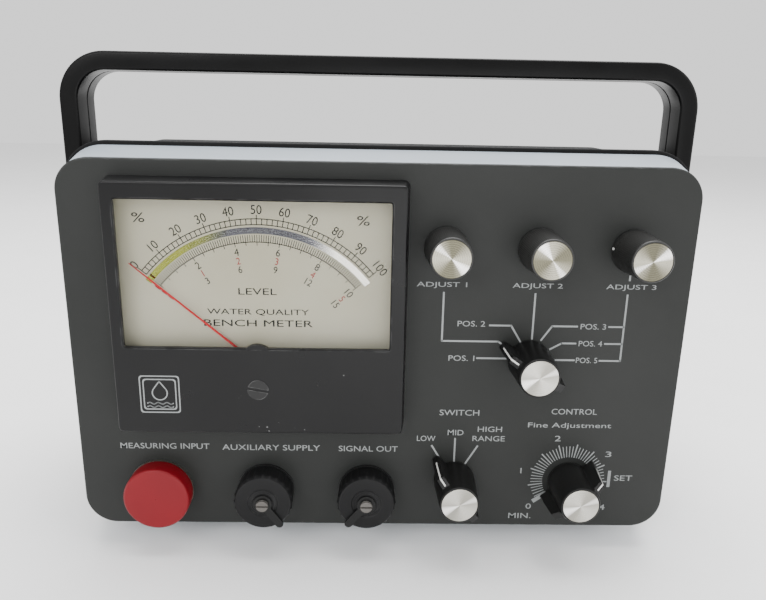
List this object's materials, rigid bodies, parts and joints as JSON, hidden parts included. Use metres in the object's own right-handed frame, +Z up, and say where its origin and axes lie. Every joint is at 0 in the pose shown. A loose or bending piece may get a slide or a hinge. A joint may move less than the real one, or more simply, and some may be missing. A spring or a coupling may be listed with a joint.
{
  "type": "water quality probe meter",
  "caption": "Bench meter of a water quality probe: panel meter, knobs and capped receptacles in a case with a swing handle.",
  "frame": {"origin": "middle of the rectangle the instrument covers, on the surface under its feet", "axes": "+X to the right seen from the front, +Y from the front panel into the case, +Z up"},
  "size_m": [0.291, 0.1394, 0.2123],
  "materials": {
    "front_housing": "satin",
    "front_panel": "satin",
    "panel_studs": "satin",
    "case_gasket": "matte",
    "rear_case": "textured",
    "case_screws": "satin",
    "rubber_feet": "matte",
    "foot_screws": "satin",
    "pivot_bushes": "machined",
    "pivot_screws": "satin",
    "friction_washers": "matte",
    "carry_handle": "semi-gloss",
    "meter_cover": "semi-gloss",
    "meter_window": "clear",
    "meter_base": "moulded",
    "meter_dial": "printed, matt",
    "dial_mirror": "polished",
    "meter_studs": "plated",
    "meter_magnet": "painted",
    "coil_bridge": "die cast",
    "meter_coil": "enamelled wire",
    "meter_pointer": "matt",
    "zero_adjust_screw": "semi-gloss",
    "circuit_board": "lacquered",
    "board_components": "moulded",
    "board_screws": "satin",
    "battery_holder": "moulded",
    "battery_cells": "printed sleeve",
    "probe_receptacle": "plated",
    "charger_receptacle": "plated",
    "recorder_receptacle": "plated",
    "receptacle_nuts": "plated",
    "potentiometers": "plated",
    "rotary_switches": "laminate",
    "control_nuts": "plated",
    "probe_cap": "soft vinyl",
    "charger_cap": "moulded",
    "charger_cap_screw": "satin",
    "charger_cap_lug": "moulded",
    "recorder_cap": "moulded",
    "recorder_cap_screw": "satin",
    "recorder_cap_lug": "moulded",
    "red_line_knob": "moulded, ribbed",
    "red_line_disc": "spun",
    "red_line_shaft": "machined",
    "zero_knob": "moulded, ribbed",
    "zero_disc": "spun",
    "zero_shaft": "machined",
    "calibrate_knob": "moulded, ribbed",
    "calibrate_disc": "spun",
    "calibrate_shaft": "machined",
    "selector_knob": "moulded, ribbed",
    "selector_disc": "spun",
    "selector_shaft": "machined",
    "stirrer_knob": "moulded, ribbed",
    "stirrer_disc": "spun",
    "stirrer_shaft": "machined",
    "salinity_knob": "moulded, ribbed",
    "salinity_disc": "spun",
    "salinity_shaft": "machined"
  },
  "bodies": {
    "instrument": {"front_housing": "front_housing", "front_panel": "front_panel", "panel_studs": "panel_studs", "case_gasket": "case_gasket", "rear_case": "rear_case", "case_screws": "case_screws", "rubber_feet": "rubber_feet", "foot_screws": "foot_screws", "pivot_bushes": "pivot_bushes", "pivot_screws": "pivot_screws", "friction_washers": "friction_washers", "meter_cover": "meter_cover", "meter_window": "meter_window", "meter_base": "meter_base", "meter_dial": "meter_dial", "dial_mirror": "dial_mirror", "meter_studs": "meter_studs", "meter_magnet": "meter_magnet", "coil_bridge": "coil_bridge", "circuit_board": "circuit_board", "board_components": "board_components", "board_screws": "board_screws", "battery_holder": "battery_holder", "battery_cells": "battery_cells", "probe_receptacle": "probe_receptacle", "charger_receptacle": "charger_receptacle", "recorder_receptacle": "recorder_receptacle", "receptacle_nuts": "receptacle_nuts", "potentiometers": "potentiometers", "rotary_switches": "rotary_switches", "control_nuts": "control_nuts"},
    "carry_handle": {"carry_handle": "carry_handle"},
    "needle": {"meter_pointer": "meter_pointer", "meter_coil": "meter_coil"},
    "zero_adjuster": {"zero_adjust_screw": "zero_adjust_screw"},
    "probe_cap": {"probe_cap": "probe_cap"},
    "red_line_control": {"red_line_knob": "red_line_knob", "red_line_disc": "red_line_disc", "red_line_shaft": "red_line_shaft"},
    "zero_control": {"zero_knob": "zero_knob", "zero_disc": "zero_disc", "zero_shaft": "zero_shaft"},
    "calibrate_control": {"calibrate_knob": "calibrate_knob", "calibrate_disc": "calibrate_disc", "calibrate_shaft": "calibrate_shaft"},
    "selector_control": {"selector_knob": "selector_knob", "selector_disc": "selector_disc", "selector_shaft": "selector_shaft"},
    "stirrer_control": {"stirrer_knob": "stirrer_knob", "stirrer_disc": "stirrer_disc", "stirrer_shaft": "stirrer_shaft"},
    "salinity_control": {"salinity_knob": "salinity_knob", "salinity_disc": "salinity_disc", "salinity_shaft": "salinity_shaft"},
    "charger_lug": {"charger_cap_lug": "charger_cap_lug"},
    "charger_cap": {"charger_cap": "charger_cap", "charger_cap_screw": "charger_cap_screw"},
    "recorder_lug": {"recorder_cap_lug": "recorder_cap_lug"},
    "recorder_cap": {"recorder_cap": "recorder_cap", "recorder_cap_screw": "recorder_cap_screw"}
  },
  "joints": [
    {"name": "handle_swing", "type": "hinge", "parent": "instrument", "child": "carry_handle", "pos_m": [0, 0.0107, 0.09085], "axis": [1, 0, 0], "range_deg": [-130, 130]},
    {"name": "needle_swing", "type": "hinge", "parent": "instrument", "child": "needle", "pos_m": [-0.04866, -0.0483, 0.088], "axis": [0, -1, 0], "range_deg": [-100, 0], "stiffness_Nm_per_rad": 0.0005, "springref_deg": 11.46},
    {"name": "zero_adjust_turn", "type": "hinge", "parent": "instrument", "child": "zero_adjuster", "pos_m": [-0.04866, -0.0588, 0.0796], "axis": [0, -1, 0], "range_deg": [-45, 45]},
    {"name": "probe_cap_pull", "type": "slide", "parent": "instrument", "child": "probe_cap", "axis": [0, -1, 0], "range_m": [0, 0.012]},
    {"name": "red_line_turn", "type": "hinge", "parent": "instrument", "child": "red_line_control", "pos_m": [0.0262, -0.0583, 0.1371], "axis": [0, -1, 0], "range_deg": [-150, 150]},
    {"name": "zero_turn", "type": "hinge", "parent": "instrument", "child": "zero_control", "pos_m": [0.0638, -0.0583, 0.1371], "axis": [0, -1, 0], "range_deg": [-150, 150]},
    {"name": "calibrate_turn", "type": "hinge", "parent": "instrument", "child": "calibrate_control", "pos_m": [0.1014, -0.0583, 0.1371], "axis": [0, -1, 0], "range_deg": [-150, 150]},
    {"name": "selector_turn", "type": "hinge", "parent": "instrument", "child": "selector_control", "pos_m": [0.0627, -0.0583, 0.0902], "axis": [0, -1, 0], "range_deg": [-150, 30]},
    {"name": "stirrer_turn", "type": "hinge", "parent": "instrument", "child": "stirrer_control", "pos_m": [0.034, -0.0583, 0.03425], "axis": [0, -1, 0], "range_deg": [-70, 0]},
    {"name": "salinity_turn", "type": "hinge", "parent": "instrument", "child": "salinity_control", "pos_m": [0.08405, -0.0583, 0.03425], "axis": [0, -1, 0], "range_deg": [-41, 177]},
    {"name": "charger_cap_lift", "type": "slide", "parent": "instrument", "child": "charger_lug", "axis": [0, -1, 0], "range_m": [0, 0.00636]},
    {"name": "charger_cap_turn", "type": "hinge", "parent": "charger_lug", "child": "charger_cap", "pos_m": [-0.048, -0.0543, 0.0285], "axis": [0, -1, 0], "range_deg": [0, 1800]},
    {"name": "recorder_cap_lift", "type": "slide", "parent": "instrument", "child": "recorder_lug", "axis": [0, -1, 0], "range_m": [0, 0.00636]},
    {"name": "recorder_cap_turn", "type": "hinge", "parent": "recorder_lug", "child": "recorder_cap", "pos_m": [-0.0042, -0.0543, 0.0285], "axis": [0, -1, 0], "range_deg": [0, 1800]}
  ],
  "couplings": [
    {"joint": "charger_cap_lift", "follows": "charger_cap_turn", "m_per_rad": 0.00020213},
    {"joint": "recorder_cap_lift", "follows": "recorder_cap_turn", "m_per_rad": 0.00020213}
  ]
}
